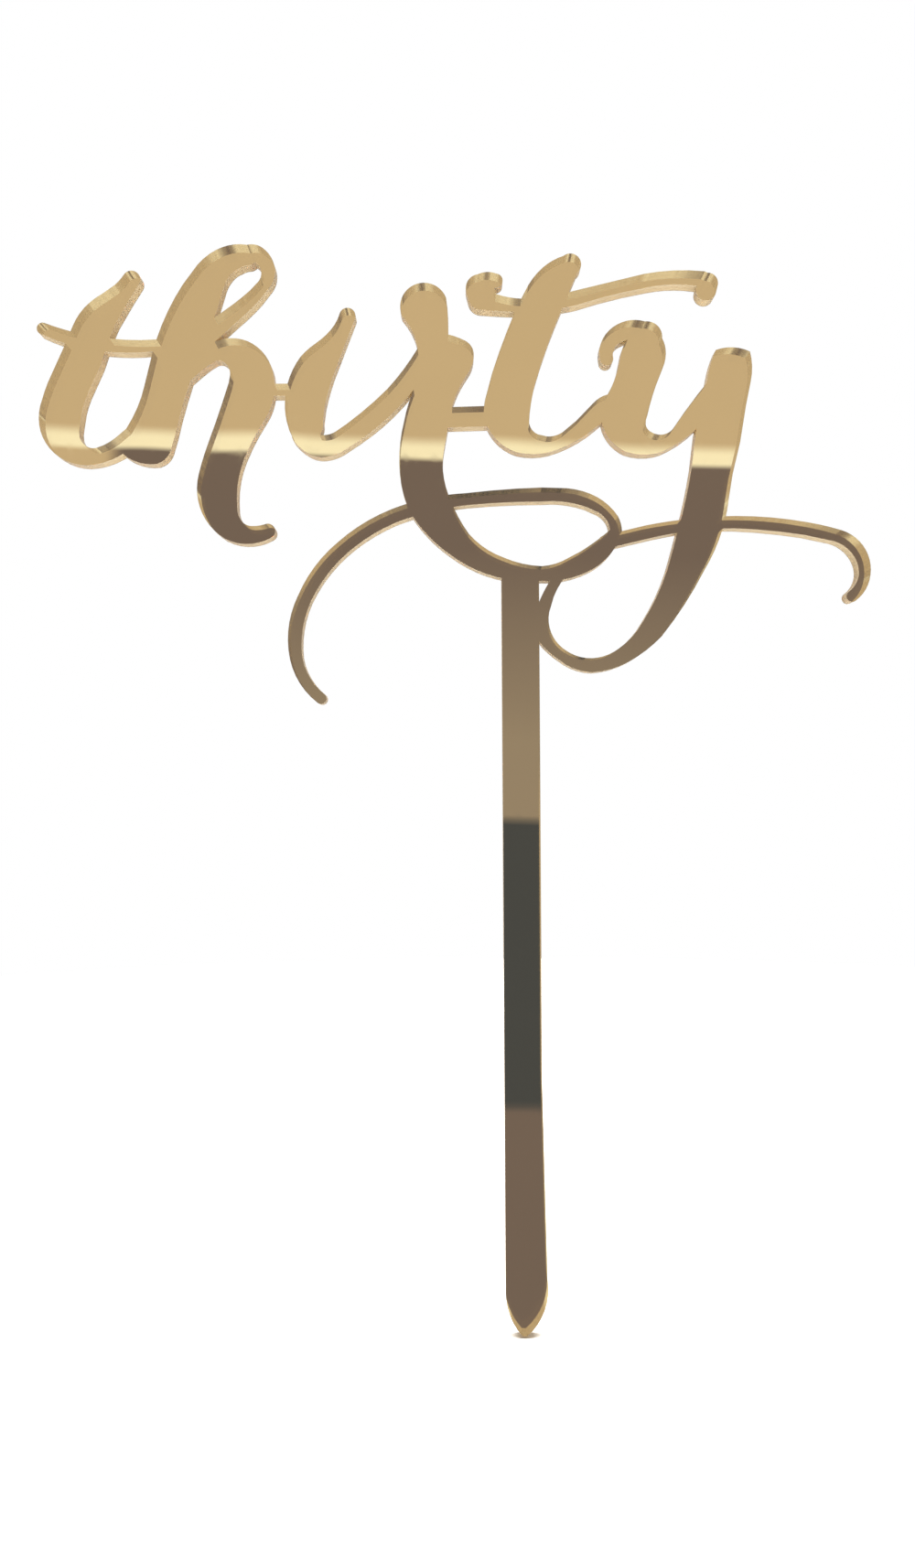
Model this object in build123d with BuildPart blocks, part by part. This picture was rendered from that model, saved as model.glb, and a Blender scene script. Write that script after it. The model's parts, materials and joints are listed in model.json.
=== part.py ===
"""Script-lettered cake topper, laser cut in one outline from gold mirror acrylic.

The blank is a bonded stack: a gold-tinted acrylic sheet in front, a reflective coat on its back,
and a paint coat that protects the reflective coat. All three are cut along the same outline.
The word stands upright on a flat stake that is pushed into the cake.

Frame: X runs along the word as it is read, Z is up, and the bright face looks towards -Y.
The origin is the point of the stake, in the middle of the stack's thickness.
"""

import os
from itertools import pairwise
from math import sqrt

from build123d import *

# Driving sizes, in millimetres

LETTERING_WIDTH = 140.6  # end of the first crossbar to the outside of the right swash
LETTERING_HEIGHT = 77.8  # tip of the left swash to the top of the h
STEM_WIDTH = 7.0  # pen line at full pressure
HAIRLINE_WIDTH = 1.2  # pen line at no pressure

STAKE_WIDTH = 6.25
STAKE_LENGTH = 127.9  # point of the stake to the tail that it hangs from
NOSE_WIDTH = 0.7  # the blunt end of the point, which is safe to handle
LEFT_POINT_LENGTH = 6.2
LEFT_POINT_BELLY = 0.55  # how far this side of the point bows out from a straight taper
RIGHT_POINT_LENGTH = 9.4
RIGHT_POINT_BELLY = 1.3
FLARE_LENGTH = 34.0  # the stake's right side spreads over this length above its point
FLARE_SPREAD = 0.75

ACRYLIC_THICKNESS = 2.85
MIRROR_THICKNESS = 0.05
PAINT_THICKNESS = 0.10

# Where the stake meets the lettering, as shares of the lettering's width and height
STAKE_ACROSS_SHARE = 0.5788
STAKE_TOP_SHARE = 0.2830

# Height of a blunt end's crown, as a share of half the line's width
BLUNT_CROWN_SHARE = 0.2

# The cutter's path: an arc that bows less than this is cut as a line, and one arc is enough where it
# arrives this near to the wanted direction
FLAT_BOW = 0.07
SMOOTH_TURN = 6.0  # degrees

# Pen lines. Each row is one place on a line's middle: its share of the lettering's width from the left,
# its share of the lettering's height from the bottom, and the pen's pressure there, as the share of the way
# from a hairline to a full stem.

# First letter, t
FIRST_T_STEM_SHARES = (
    (0.1178, 0.919, 0.31),
    (0.1070, 0.893, 0.38),
    (0.0825, 0.846, 0.76),
    (0.0575, 0.750, 0.97),
    (0.0345, 0.650, 0.99),
    (0.0320, 0.600, 0.94),
    (0.0430, 0.559, 0.61),
    (0.0650, 0.539, 0.31),
    (0.0880, 0.547, 0.27),
    (0.1290, 0.599, 0.26),
)
FIRST_T_BAR_SHARES = (
    (0.0118, 0.815, 0.13),
    (0.0600, 0.787, 0.18),
    (0.1550, 0.779, 0.11),
)

# Second letter, h
H_LOOP_SHARES = (
    (0.1980, 0.778, 0.30),
    (0.2352, 0.838, 0.27),
    (0.2648, 0.884, 0.18),
    (0.2806, 0.938, 0.20),
    (0.2690, 0.971, 0.26),
    (0.2430, 0.958, 0.26),
)
H_STEM_SHARES = (
    (0.2565, 0.970, 0.38),
    (0.2285, 0.957, 0.60),
    (0.2005, 0.888, 0.96),
    (0.1682, 0.748, 1.09),
    (0.1430, 0.600, 1.13),
    (0.1287, 0.541, 1.03),
    (0.1272, 0.532, 0.79),
)
H_ARCH_SHARES = (
    (0.1685, 0.672, 0.26),
    (0.2030, 0.747, 0.26),
    (0.2235, 0.765, 0.40),
    (0.2445, 0.756, 0.74),
    (0.2598, 0.700, 1.10),
    (0.2298, 0.550, 0.93),
    (0.2198, 0.437, 0.89),
    (0.2370, 0.380, 0.50),
    (0.2785, 0.376, 0.22),
)
H_TO_I_SHARES = (
    (0.2700, 0.680, 0.14),
    (0.3150, 0.680, 0.14),
)

# Third letter, i
I_DOWN_SHARES = (
    (0.3748, 0.838, 0.26),
    (0.3643, 0.797, 0.34),
    (0.3380, 0.730, 0.88),
    (0.3235, 0.650, 0.95),
    (0.3243, 0.605, 0.80),
)
I_UP_SHARES = (
    (0.3195, 0.582, 0.36),
    (0.3470, 0.558, 0.43),
    (0.3800, 0.587, 0.39),
    (0.4308, 0.665, 0.39),
    (0.4720, 0.768, 0.36),
)

# Fourth letter, r
R_HEAD_SHARES = (
    (0.4660, 0.857, 1.17),
    (0.4745, 0.800, 0.79),
    (0.4720, 0.705, 0.45),
)
R_STEM_SHARES = (
    (0.4890, 0.777, 0.38),
    (0.5055, 0.750, 0.74),
    (0.4885, 0.697, 0.81),
    (0.4672, 0.600, 1.07),
    (0.4618, 0.500, 1.04),
    (0.4748, 0.420, 0.97),
    (0.5068, 0.345, 0.60),
    (0.5550, 0.295, 0.39),
    (0.6050, 0.281, 0.22),
    (0.6570, 0.308, 0.41),
    (0.6915, 0.365, 0.17),
)
R_TO_T_SHARES = (
    (0.4850, 0.618, 0.38),
    (0.5550, 0.621, 0.38),
)

# Fifth letter, t
SECOND_T_STEM_SHARES = (
    (0.6405, 0.946, 0.42),
    (0.6240, 0.916, 0.80),
    (0.6005, 0.840, 1.01),
    (0.5720, 0.700, 1.07),
    (0.5660, 0.611, 1.06),
    (0.5840, 0.568, 0.60),
    (0.6130, 0.559, 0.25),
    (0.6530, 0.595, 0.29),
    (0.6950, 0.655, 0.18),
)
SECOND_T_CURL_SHARES = (
    (0.5515, 0.912, 0.20),
    (0.5440, 0.911, 0.34),
    (0.5370, 0.905, 0.45),
)
SECOND_T_BALL_SHARES = (
    (0.5325, 0.896, 0.60),
    (0.5350, 0.879, 0.60),
)
SECOND_T_BAR_SHARES = (
    (0.5385, 0.870, 0.38),
    (0.5600, 0.862, 0.23),
    (0.6450, 0.873, 0.21),
    (0.7300, 0.910, 0.19),
    (0.7980, 0.913, 0.24),
)
SECOND_T_DROP_SHARES = (
    (0.8040, 0.904, 0.39),
    (0.8022, 0.888, 0.37),
)

# Sixth letter, y
Y_CURL_SHARES = (
    (0.6832, 0.742, 0.17),
    (0.6890, 0.784, 0.24),
    (0.7050, 0.802, 0.32),
    (0.7350, 0.796, 0.30),
)
Y_FIRST_SHARES = (
    (0.7310, 0.789, 0.69),
    (0.7295, 0.770, 0.97),
    (0.7188, 0.700, 0.98),
    (0.7040, 0.614, 1.12),
    (0.7170, 0.571, 0.76),
    (0.7460, 0.560, 0.30),
    (0.7848, 0.613, 0.38),
    (0.8025, 0.654, 0.40),
    (0.8240, 0.712, 0.22),
)
Y_STEM_SHARES = (
    (0.8335, 0.758, 0.78),
    (0.8330, 0.745, 0.89),
    (0.8238, 0.650, 1.03),
    (0.8150, 0.570, 1.10),
    (0.8080, 0.500, 0.99),
    (0.7975, 0.400, 1.03),
    (0.7780, 0.300, 0.83),
    (0.7355, 0.160, 0.48),
    (0.7010, 0.104, 0.27),
    (0.6640, 0.083, 0.20),
    (0.6285, 0.105, 0.13),
    (0.6048, 0.160, 0.22),
    (0.6122, 0.235, 0.12),
    (0.6282, 0.283, 0.08),
)

# Swashes
LEFT_SWASH_SHARES = (
    (0.3405, 0.015, 0.11),
    (0.3112, 0.102, 0.15),
    (0.3215, 0.230, 0.20),
    (0.3665, 0.338, 0.21),
    (0.4285, 0.407, 0.20),
    (0.5150, 0.442, 0.14),
    (0.6050, 0.451, 0.20),
    (0.6600, 0.438, 0.19),
    (0.6895, 0.397, 0.13),
    (0.6920, 0.355, 0.14),
)
RIGHT_SWASH_SHARES = (
    (0.6800, 0.348, 0.18),
    (0.7300, 0.369, 0.18),
    (0.8350, 0.389, 0.15),
    (0.9200, 0.374, 0.17),
    (0.9835, 0.320, 0.18),
    (0.9888, 0.275, 0.13),
    (0.9738, 0.228, 0.12),
)

# Most lines end round; the foot of the h and the top of the y end blunt
ROUND_ENDED_LINES = (
    FIRST_T_STEM_SHARES,
    FIRST_T_BAR_SHARES,
    H_LOOP_SHARES,
    H_ARCH_SHARES,
    H_TO_I_SHARES,
    I_DOWN_SHARES,
    I_UP_SHARES,
    R_HEAD_SHARES,
    R_STEM_SHARES,
    R_TO_T_SHARES,
    SECOND_T_STEM_SHARES,
    SECOND_T_CURL_SHARES,
    SECOND_T_BALL_SHARES,
    SECOND_T_BAR_SHARES,
    SECOND_T_DROP_SHARES,
    Y_CURL_SHARES,
    Y_FIRST_SHARES,
    LEFT_SWASH_SHARES,
    RIGHT_SWASH_SHARES,
)


def on_lettering(across_share, up_share):
    """A place in the lettering, measured from the point of the stake."""
    base = STAKE_LENGTH - STAKE_TOP_SHARE * LETTERING_HEIGHT
    return Vector((across_share - STAKE_ACROSS_SHARE) * LETTERING_WIDTH, base + up_share * LETTERING_HEIGHT)


def smooth_path(places):
    """A cutter's path through the places: one or two arcs from each to the next, with no corner to see."""
    guide = Spline(places, mode=Mode.PRIVATE)
    for start, end in pairwise(places):
        leave, arrive = guide.tangent_at(start), guide.tangent_at(end)
        step = end - start
        chord = step.normalized()
        if (chord * 2 * leave.dot(chord) - leave).get_angle(arrive) < SMOOTH_TURN:
            arc_or_line(start, end, leave)
            continue
        along = step.dot(leave + arrive)
        span = step.dot(step)
        reach = span / (along + sqrt(along**2 + 2 * (1 - leave.dot(arrive)) * span))
        middle_ahead = (end - arrive * reach) - (start + leave * reach)
        middle = start + leave * reach + middle_ahead / 2
        arc_or_line(start, middle, leave)
        arc_or_line(middle, end, middle_ahead.normalized())


def arc_or_line(start, end, ahead):
    """An arc that leaves its start straight ahead, or a line where the arc would bow too little."""
    bow = abs(ahead.cross(end - start).Z) / 4
    if bow < FLAT_BOW:
        Line(start, end)
    else:
        TangentArc(start, end, tangent=ahead)


def pen_line(shares, start_crown_share=1, end_crown_share=1):
    """One pen line: a smooth edge on each side of its middle and a crowned end at each end.

    A crown is a share of half the line's width there, so an end with a crown of 1 is round.
    """
    middle = [on_lettering(across, up) for across, up, _ in shares]
    halves = [(HAIRLINE_WIDTH + pressure * (STEM_WIDTH - HAIRLINE_WIDTH)) / 2 for _, _, pressure in shares]
    with BuildSketch() as line:
        with BuildLine():
            spine = Spline(middle, mode=Mode.PRIVATE)
            ahead = [spine.tangent_at(place) for place in middle]
            aside = [direction.rotate(Axis.Z, 90) * half for direction, half in zip(ahead, halves)]
            left = [place + step for place, step in zip(middle, aside)]
            right = [place - step for place, step in zip(middle, aside)]
            smooth_path(left)
            ThreePointArc(left[-1], middle[-1] + ahead[-1] * halves[-1] * end_crown_share, right[-1])
            smooth_path(right[::-1])
            ThreePointArc(right[0], middle[0] - ahead[0] * halves[0] * start_crown_share, left[0])
        make_face()
    return line.sketch


# Outline of the whole topper, drawn flat with the point of the stake at the origin

with BuildSketch() as outline:
    for line_shares in ROUND_ENDED_LINES:
        add(pen_line(line_shares))
    add(pen_line(H_STEM_SHARES, end_crown_share=BLUNT_CROWN_SHARE))
    add(pen_line(Y_STEM_SHARES, start_crown_share=BLUNT_CROWN_SHARE))
    with BuildLine():
        nose = Line((-NOSE_WIDTH / 2, 0), (NOSE_WIDTH / 2, 0))
        right_shoulder = (STAKE_WIDTH / 2 + FLARE_SPREAD, RIGHT_POINT_LENGTH)
        right_point = SagittaArc(nose @ 1, right_shoulder, -RIGHT_POINT_BELLY)
        flare = Line(right_point @ 1, (STAKE_WIDTH / 2, RIGHT_POINT_LENGTH + FLARE_LENGTH))
        right_side = Line(flare @ 1, (STAKE_WIDTH / 2, STAKE_LENGTH))
        top = Line(right_side @ 1, (-STAKE_WIDTH / 2, STAKE_LENGTH))
        left_side = Line(top @ 1, (-STAKE_WIDTH / 2, LEFT_POINT_LENGTH))
        SagittaArc(left_side @ 1, nose @ 0, -LEFT_POINT_BELLY)
    make_face()

# The layers of the stack, from the back to the bright face; distances are from the middle of the stack

STACK_THICKNESS = ACRYLIC_THICKNESS + MIRROR_THICKNESS + PAINT_THICKNESS
BACK = -STACK_THICKNESS / 2

with BuildPart() as backing_paint:
    with BuildSketch(Plane.XZ.offset(BACK)):
        add(outline.sketch)
    extrude(amount=PAINT_THICKNESS)

with BuildPart() as mirror_coat:
    with BuildSketch(Plane.XZ.offset(BACK + PAINT_THICKNESS)):
        add(outline.sketch)
    extrude(amount=MIRROR_THICKNESS)

with BuildPart() as acrylic_sheet:
    with BuildSketch(Plane.XZ.offset(BACK + PAINT_THICKNESS + MIRROR_THICKNESS)):
        add(outline.sketch)
    extrude(amount=ACRYLIC_THICKNESS)

# One STEP file per layer

acrylic_sheet.part.label = "acrylic_sheet"
mirror_coat.part.label = "mirror_coat"
backing_paint.part.label = "backing_paint"

os.makedirs("parts", exist_ok=True)
for layer in (acrylic_sheet.part, mirror_coat.part, backing_paint.part):
    export_step(layer, f"parts/{layer.label}.step")
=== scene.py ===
import json
import math

import bpy
from mathutils import Matrix, Vector

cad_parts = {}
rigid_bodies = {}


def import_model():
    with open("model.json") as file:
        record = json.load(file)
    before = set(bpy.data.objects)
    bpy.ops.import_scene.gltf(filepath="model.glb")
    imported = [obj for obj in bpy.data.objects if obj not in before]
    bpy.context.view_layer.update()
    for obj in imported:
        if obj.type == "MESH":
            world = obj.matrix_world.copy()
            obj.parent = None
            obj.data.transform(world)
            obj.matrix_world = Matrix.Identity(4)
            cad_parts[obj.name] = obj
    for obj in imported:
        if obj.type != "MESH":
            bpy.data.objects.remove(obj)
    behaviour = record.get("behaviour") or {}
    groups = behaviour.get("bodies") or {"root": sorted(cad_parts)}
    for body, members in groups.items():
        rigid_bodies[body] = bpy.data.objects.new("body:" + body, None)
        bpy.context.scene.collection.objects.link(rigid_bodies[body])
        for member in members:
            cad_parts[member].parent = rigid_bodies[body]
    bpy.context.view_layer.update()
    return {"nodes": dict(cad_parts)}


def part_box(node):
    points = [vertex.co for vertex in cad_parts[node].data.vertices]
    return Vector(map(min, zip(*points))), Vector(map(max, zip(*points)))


for leftover in list(bpy.data.objects):
    bpy.data.objects.remove(leftover)

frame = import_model()
scene = bpy.context.scene

MILLIMETRES = 1000.0

# The camera stands in front of the mirror face, a little left of the stake; metres
VIEW_DISTANCE = 0.230
FRONT_FACE = -0.0015
VIEW_ACROSS = -0.01073
VIEW_UP = 0.09259
FRAME_HEIGHT = 0.2625
SENSOR = 36.0
NEAREST_SEEN = 0.01
ROLL = math.radians(-0.35)
BOUNCES = 32
CLEAR_BOUNCES = 24

# The acrylic: its faces are polished, and its cut edges lightly frosted
ACRYLIC_IOR = 1.49
CLEAR = (1.0, 1.0, 1.0)
EDGE_FROST = 0.30
EDGE_COLOUR = (0.86, 0.74, 0.50)
EDGE_ROUGHNESS = (0.06, 0.20)
CUTTER_LINES = (1.0, 0.03, 1.0)
TINT_DENSITY = 36.0
TINT_COLOUR = (0.979, 0.732, 0.003, 1.0)

# The mirror film
GOLD = (0.960, 0.850, 0.590)
DULLER_GOLD = tuple(0.985 * channel for channel in GOLD)
FILM_ROUGHNESS = (0.0, 0.03)
FILM_WAVE_DEPTH = 0.00003
BOND_GAP = 0.00001

# The backing paint
DARK_GREY = (0.158, 0.158, 0.161)
LIGHT_GREY = (0.182, 0.181, 0.178)
SPECK_GREY = (0.27, 0.27, 0.265)
SPECK_SHARE = 0.5
BROWNED = (0.11, 0.09, 0.07)
PAINT_ROUGHNESS = (0.42, 0.66)
ORANGE_PEEL_DEPTH = 0.00006

# A surface is a face where it looks this squarely to the front or the back, and else a cut edge
EDGE_LIMIT = 0.5
BACK_LIMIT = 0.9

# The studio. A mirror shows what stands before it, so there is a warm wall over a pale floor,
# a card in front of it with the camera's dark stand in its middle, one strip light along the
# card's top, and far out on each side a soft dark flag for the slanting views.
WARM_WALL = (0.60, 0.50, 0.40)
STRIP_LIGHT = (1.00, 1.00, 0.95)
BROWN_CARD = (0.18, 0.15, 0.17)
OLIVE_CARD = (0.32, 0.28, 0.27)
DARK_STAND = (0.07, 0.08, 0.11)
PALE_FLOOR = (0.95, 0.90, 0.80)
WHITE = (1.0, 1.0, 1.0, 1.0)
# Heights, in millimetres on the mirror face as the camera sees them there
STUDIO_LOW, STUDIO_HIGH = -12.4, 197.6
FLOOR_FULL, FLOOR_TOP = 22.0, 34.0
STAND_LOW, STAND_HIGH = 39.0, 87.0
FOOT_TOP, FOOT_FADE = 96.0, 86.0
FADE_LOW, FADE_HIGH = 100.0, 132.0
STRIP_LOW, STRIP_HIGH = 147.0, 150.0
BAND_SOFTNESS = 0.6
STRIP_FADE = 1.2
STRIP_TILT = 0.04
# Places to either side of the middle, in the same millimetres
STAND_INSIDE, STAND_OUTSIDE = 4.0, 6.5
FOOT_INSIDE, FOOT_OUTSIDE = 15.0, 30.0
CARD_INSIDE, CARD_OUTSIDE = 66.0, 70.0
FLAG_START, FLAG_FULL = 120.0, 180.0
FLAG_FADE, FLAG_END = 230.0, 320.0
FLAG_SHARE = 0.6
# Shares of a direction that point ahead of the topper
LEAST_AHEAD = 0.02
BEHIND_LIMIT = -0.05

# The floor and the lamp
FLOOR_RADIUS = 0.5
FLOOR_SIDES = 96
FLOOR_DROP = -0.0004
FLOOR_COLOUR = (0.9, 0.9, 0.89, 1.0)
FLOOR_ROUGHNESS = 0.8
LAMP_PLACE = Vector((0.0, -0.1, 1.4))
LAMP_SIZE = 1.2
LAMP_POWER = 60.0


def new_material(name):
    material = bpy.data.materials.new(name)
    material.use_nodes = True
    tree = material.node_tree
    tree.nodes.clear()
    out = tree.nodes.new("ShaderNodeOutputMaterial")
    shader = tree.nodes.new("ShaderNodeBsdfPrincipled")
    tree.links.new(shader.outputs["BSDF"], out.inputs["Surface"])
    return material, tree, shader, out


def node(tree, kind, **settings):
    made = tree.nodes.new(kind)
    for key, value in settings.items():
        setattr(made, key, value)
    return made


def math_node(tree, operation, first, second=None, third=None):
    made = node(tree, "ShaderNodeMath", operation=operation)
    for socket, value in zip(made.inputs, (first, second, third)):
        if value is None:
            continue
        if isinstance(value, (int, float)):
            socket.default_value = value
        else:
            tree.links.new(value, socket)
    return made.outputs[0]


def mixed(tree, factor, first, second):
    """The second colour laid over the first by a factor; a colour is a tuple or a socket."""
    made = node(tree, "ShaderNodeMix", data_type="RGBA")
    tree.links.new(factor, made.inputs[0])
    for socket, colour in ((made.inputs[6], first), (made.inputs[7], second)):
        if isinstance(colour, tuple):
            socket.default_value = (*colour, 1.0)
        else:
            tree.links.new(colour, socket)
    return made.outputs[2]


def ramp(tree, factor, stops):
    made = node(tree, "ShaderNodeValToRGB")
    elements = made.color_ramp.elements
    while len(elements) > 1:
        elements.remove(elements[-1])
    elements[0].position, elements[0].color = stops[0][0], (*stops[0][1], 1.0)
    for position, colour in stops[1:]:
        elements.new(position).color = (*colour, 1.0)
    tree.links.new(factor, made.inputs["Fac"])
    return made.outputs["Color"]


def remap(tree, value, low, high, out_low, out_high):
    made = node(tree, "ShaderNodeMapRange")
    tree.links.new(value, made.inputs["Value"])
    made.inputs["From Min"].default_value = low
    made.inputs["From Max"].default_value = high
    made.inputs["To Min"].default_value = out_low
    made.inputs["To Max"].default_value = out_high
    return made.outputs["Result"]


def soft_step(tree, value, low, high):
    """A smooth step from 0 at low to 1 at high."""
    made = node(tree, "ShaderNodeMapRange", interpolation_type="SMOOTHSTEP")
    tree.links.new(value, made.inputs["Value"])
    made.inputs["From Min"].default_value = low
    made.inputs["From Max"].default_value = high
    return made.outputs["Result"]


def noise(tree, scale, detail=2.0, stretch=None):
    """A noise in object space, in waves to the millimetre; stretch scales each axis."""
    where = node(tree, "ShaderNodeTexCoord").outputs["Object"]
    grain = node(tree, "ShaderNodeTexNoise")
    grain.inputs["Scale"].default_value = MILLIMETRES * scale
    grain.inputs["Detail"].default_value = detail
    if stretch:
        squeeze = node(tree, "ShaderNodeVectorMath", operation="MULTIPLY")
        squeeze.inputs[1].default_value = stretch
        tree.links.new(where, squeeze.inputs[0])
        where = squeeze.outputs[0]
    tree.links.new(where, grain.inputs["Vector"])
    return grain.outputs["Fac"]


def bump(tree, height, depth):
    made = node(tree, "ShaderNodeBump")
    made.inputs["Distance"].default_value = depth
    made.inputs["Strength"].default_value = 1.0
    tree.links.new(height, made.inputs["Height"])
    return made.outputs["Normal"]


def on_cut_edge(tree):
    """1 on a cut edge, 0 on the front and the back."""
    surface = node(tree, "ShaderNodeNewGeometry")
    turned = node(tree, "ShaderNodeSeparateXYZ")
    tree.links.new(surface.outputs["True Normal"], turned.inputs["Vector"])
    facing = math_node(tree, "ABSOLUTE", turned.outputs["Y"])
    return math_node(tree, "LESS_THAN", facing, EDGE_LIMIT)


def studio_share(height):
    """Where a height on the mirror face lies on the studio's ramps."""
    return (height - STUDIO_LOW) / (STUDIO_HIGH - STUDIO_LOW)


# The clear sheet, with the cutter's fine lines across its cut edges
acrylic, tree, shader, out = new_material("gold_tinted_acrylic")
shader.inputs["IOR"].default_value = ACRYLIC_IOR
cut_edge = on_cut_edge(tree)
lines = noise(tree, 1.6, 3.0, stretch=CUTTER_LINES)
edge_rough = remap(tree, lines, 0.3, 0.7, *EDGE_ROUGHNESS)
rough = math_node(tree, "MULTIPLY", cut_edge, edge_rough)
tree.links.new(rough, shader.inputs["Roughness"])
clear = math_node(tree, "MULTIPLY_ADD", cut_edge, -EDGE_FROST, 1.0)
tree.links.new(clear, shader.inputs["Transmission Weight"])
tree.links.new(mixed(tree, cut_edge, CLEAR, EDGE_COLOUR), shader.inputs["Base Color"])
volume = node(tree, "ShaderNodeVolumeAbsorption")
volume.inputs["Color"].default_value = TINT_COLOUR
volume.inputs["Density"].default_value = TINT_DENSITY
tree.links.new(volume.outputs["Volume"], out.inputs["Volume"])

# The coat: a metal film, not quite even
film, tree, shader, out = new_material("gold_mirror_film")
uneven = remap(tree, noise(tree, 0.05), 0.35, 0.65, 0.0, 1.0)
tree.links.new(mixed(tree, uneven, GOLD, DULLER_GOLD), shader.inputs["Base Color"])
shader.inputs["Metallic"].default_value = 1.0
haze = remap(tree, noise(tree, 0.4, 4.0), 0.45, 0.75, *FILM_ROUGHNESS)
tree.links.new(haze, shader.inputs["Roughness"])
wave = bump(tree, noise(tree, 0.035, 1.0), FILM_WAVE_DEPTH)
tree.links.new(wave, shader.inputs["Normal"])

# The paint: grey, sprayed, with fine specks, and browned by the cutter along its edges
paint, tree, shader, out = new_material("grey_backing_paint")
speck = remap(tree, noise(tree, 3.0, 2.0), 0.55, 0.72, 0.0, 1.0)
mottle = remap(tree, noise(tree, 0.35, 4.0), 0.35, 0.65, 0.0, 1.0)
coat = ramp(tree, mottle, [(0.0, DARK_GREY), (1.0, LIGHT_GREY)])
specked = mixed(tree, math_node(tree, "MULTIPLY", speck, SPECK_SHARE), coat, SPECK_GREY)
browned = mixed(tree, on_cut_edge(tree), specked, BROWNED)
tree.links.new(browned, shader.inputs["Base Color"])
dry = remap(tree, noise(tree, 0.8, 3.0), 0.3, 0.7, *PAINT_ROUGHNESS)
tree.links.new(dry, shader.inputs["Roughness"])
peel = bump(tree, noise(tree, 1.4, 3.0), ORANGE_PEEL_DEPTH)
tree.links.new(peel, shader.inputs["Normal"])

# The sheet's back carries the film too
sheet = frame["nodes"]["acrylic_sheet"]
sheet.data.materials.clear()
sheet.data.materials.append(acrylic)
sheet.data.materials.append(film)
for face in sheet.data.polygons:
    if face.normal.y > BACK_LIMIT:
        face.material_index = 1
for name, material in (("mirror_coat", film), ("backing_paint", paint)):
    part = frame["nodes"][name]
    part.data.materials.clear()
    part.data.materials.append(material)

# The coat is drawn a hair behind the sheet's back, so that the two faces don't lie in one plane
settle = bpy.data.node_groups.new("settle_coat", "GeometryNodeTree")
for way_in_or_out in ("INPUT", "OUTPUT"):
    settle.interface.new_socket("Geometry", in_out=way_in_or_out, socket_type="NodeSocketGeometry")
start = settle.nodes.new("NodeGroupInput")
end = settle.nodes.new("NodeGroupOutput")
where = settle.nodes.new("GeometryNodeInputPosition")
split = settle.nodes.new("ShaderNodeSeparateXYZ")
settle.links.new(where.outputs[0], split.inputs[0])
front_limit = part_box("mirror_coat")[0].y + BOND_GAP
in_front = math_node(settle, "LESS_THAN", split.outputs["Y"], front_limit)
move = settle.nodes.new("GeometryNodeSetPosition")
move.inputs["Offset"].default_value = (0.0, BOND_GAP, 0.0)
settle.links.new(start.outputs[0], move.inputs["Geometry"])
settle.links.new(in_front, move.inputs["Selection"])
settle.links.new(move.outputs["Geometry"], end.inputs[0])
frame["nodes"]["mirror_coat"].modifiers.new("settle", "NODES").node_group = settle

# The studio, laid out by where a direction from the mirror face points
world = bpy.data.worlds.new("studio")
scene.world = world
world.use_nodes = True
tree = world.node_tree
tree.nodes.clear()
way = node(tree, "ShaderNodeSeparateXYZ")
tree.links.new(node(tree, "ShaderNodeTexCoord").outputs["Generated"], way.inputs["Vector"])
ahead = math_node(tree, "MULTIPLY", way.outputs["Y"], -1.0)
ahead = math_node(tree, "MAXIMUM", ahead, LEAST_AHEAD)
across = math_node(tree, "DIVIDE", way.outputs["X"], ahead)
upward = math_node(tree, "DIVIDE", way.outputs["Z"], ahead)
reach = MILLIMETRES * VIEW_DISTANCE
height = math_node(tree, "MULTIPLY_ADD", upward, reach, MILLIMETRES * VIEW_UP)
height = math_node(tree, "MULTIPLY_ADD", across, STRIP_TILT * reach, height)
place_across = math_node(tree, "MULTIPLY_ADD", across, reach, MILLIMETRES * VIEW_ACROSS)
off_middle = math_node(tree, "ABSOLUTE", place_across)
share = remap(tree, height, STUDIO_LOW, STUDIO_HIGH, 0.0, 1.0)

wall = ramp(tree, share, [
    (studio_share(FLOOR_FULL), PALE_FLOOR),
    (studio_share(FLOOR_TOP), WARM_WALL),
])
card = ramp(tree, share, [
    (studio_share(FADE_LOW), OLIVE_CARD),
    (studio_share(FADE_HIGH), BROWN_CARD),
])
stand = ramp(tree, share, [
    (studio_share(STAND_LOW - BAND_SOFTNESS), BROWN_CARD),
    (studio_share(STAND_LOW + BAND_SOFTNESS), DARK_STAND),
    (studio_share(STAND_HIGH - BAND_SOFTNESS), DARK_STAND),
    (studio_share(STAND_HIGH + BAND_SOFTNESS), OLIVE_CARD),
    (studio_share(FADE_LOW), OLIVE_CARD),
    (studio_share(FADE_HIGH), BROWN_CARD),
])
beside_stand = soft_step(tree, off_middle, STAND_INSIDE, STAND_OUTSIDE)
studio = mixed(tree, beside_stand, stand, card)
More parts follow.
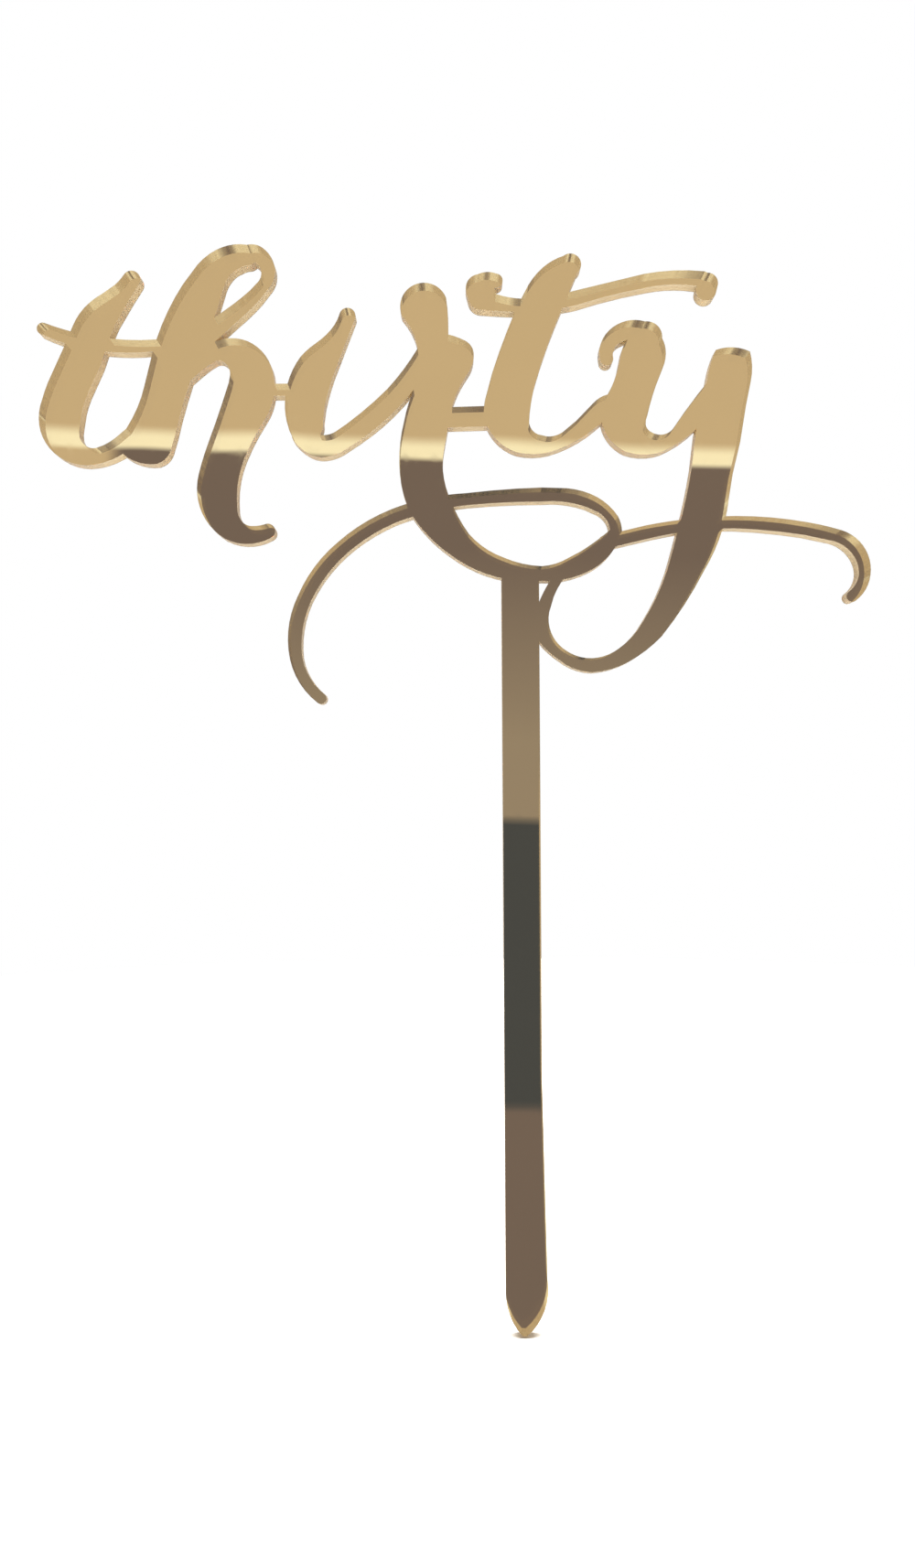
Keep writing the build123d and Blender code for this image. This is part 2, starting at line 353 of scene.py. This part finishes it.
# The card is narrower at its foot
beside_foot = math_node(tree, "MULTIPLY",
                        soft_step(tree, off_middle, FOOT_INSIDE, FOOT_OUTSIDE),
                        soft_step(tree, height, FOOT_TOP, FOOT_FADE))
studio = mixed(tree, beside_foot, studio, wall)
beside_card = soft_step(tree, off_middle, CARD_INSIDE, CARD_OUTSIDE)
studio = mixed(tree, beside_card, studio, wall)
in_strip = soft_step(tree, height, STRIP_LOW - BAND_SOFTNESS, STRIP_LOW + BAND_SOFTNESS)
studio = mixed(tree, in_strip, studio, STRIP_LIGHT)
over_strip = soft_step(tree, height, STRIP_HIGH - STRIP_FADE, STRIP_HIGH + STRIP_FADE)
studio = mixed(tree, over_strip, studio, WARM_WALL)
flag = math_node(tree, "MULTIPLY",
                 soft_step(tree, off_middle, FLAG_START, FLAG_FULL),
                 soft_step(tree, off_middle, FLAG_END, FLAG_FADE))
studio = mixed(tree, math_node(tree, "MULTIPLY", flag, FLAG_SHARE), studio, BROWN_CARD)
behind = math_node(tree, "GREATER_THAN", way.outputs["Y"], BEHIND_LIMIT)
studio = mixed(tree, behind, studio, WARM_WALL)

# The camera itself sees plain white
lit = node(tree, "ShaderNodeBackground")
tree.links.new(studio, lit.inputs["Color"])
plain = node(tree, "ShaderNodeBackground")
plain.inputs["Color"].default_value = WHITE
seen = node(tree, "ShaderNodeMixShader")
path = node(tree, "ShaderNodeLightPath")
tree.links.new(path.outputs["Is Camera Ray"], seen.inputs["Fac"])
tree.links.new(lit.outputs["Background"], seen.inputs[1])
tree.links.new(plain.outputs["Background"], seen.inputs[2])
world_out = node(tree, "ShaderNodeOutputWorld")
tree.links.new(seen.outputs["Shader"], world_out.inputs["Surface"])

# The floor, a plain pale disc
mesh = bpy.data.meshes.new("floor")
turns = [2 * math.pi * i / FLOOR_SIDES for i in range(FLOOR_SIDES)]
rim = [(FLOOR_RADIUS * math.cos(turn), FLOOR_RADIUS * math.sin(turn), 0) for turn in turns]
mesh.from_pydata(rim, [], [range(FLOOR_SIDES)])
floor = bpy.data.objects.new("floor", mesh)
floor.location.z = FLOOR_DROP
scene.collection.objects.link(floor)
pale, tree, shader, out = new_material("pale_floor")
shader.inputs["Base Color"].default_value = FLOOR_COLOUR
shader.inputs["Roughness"].default_value = FLOOR_ROUGHNESS
mesh.materials.append(pale)
floor.visible_glossy = False
floor.visible_transmission = False

# One soft lamp overhead, which the mirror doesn't show
light = bpy.data.lights.new("overhead", "AREA")
light.shape = "DISK"
light.size = LAMP_SIZE
light.energy = LAMP_POWER
lamp = bpy.data.objects.new("overhead", light)
lamp.location = LAMP_PLACE
lamp.rotation_euler = (-LAMP_PLACE).to_track_quat("-Z", "Y").to_euler()
lamp.visible_glossy = False
lamp.visible_transmission = False
scene.collection.objects.link(lamp)

camera = bpy.data.cameras.new("camera")
camera.sensor_width = SENSOR
camera.lens = SENSOR * VIEW_DISTANCE / FRAME_HEIGHT
camera.clip_start = NEAREST_SEEN
eye = bpy.data.objects.new("camera", camera)
place = Matrix.Translation((VIEW_ACROSS, FRONT_FACE - VIEW_DISTANCE, VIEW_UP))
upright = Matrix.Rotation(math.pi / 2, 4, "X")
eye.matrix_world = place @ upright @ Matrix.Rotation(ROLL, 4, "Z")
scene.collection.objects.link(eye)
scene.camera = eye
scene.view_settings.view_transform = "Standard"
scene.cycles.max_bounces = BOUNCES
scene.cycles.glossy_bounces = CLEAR_BOUNCES
scene.cycles.transmission_bounces = CLEAR_BOUNCES
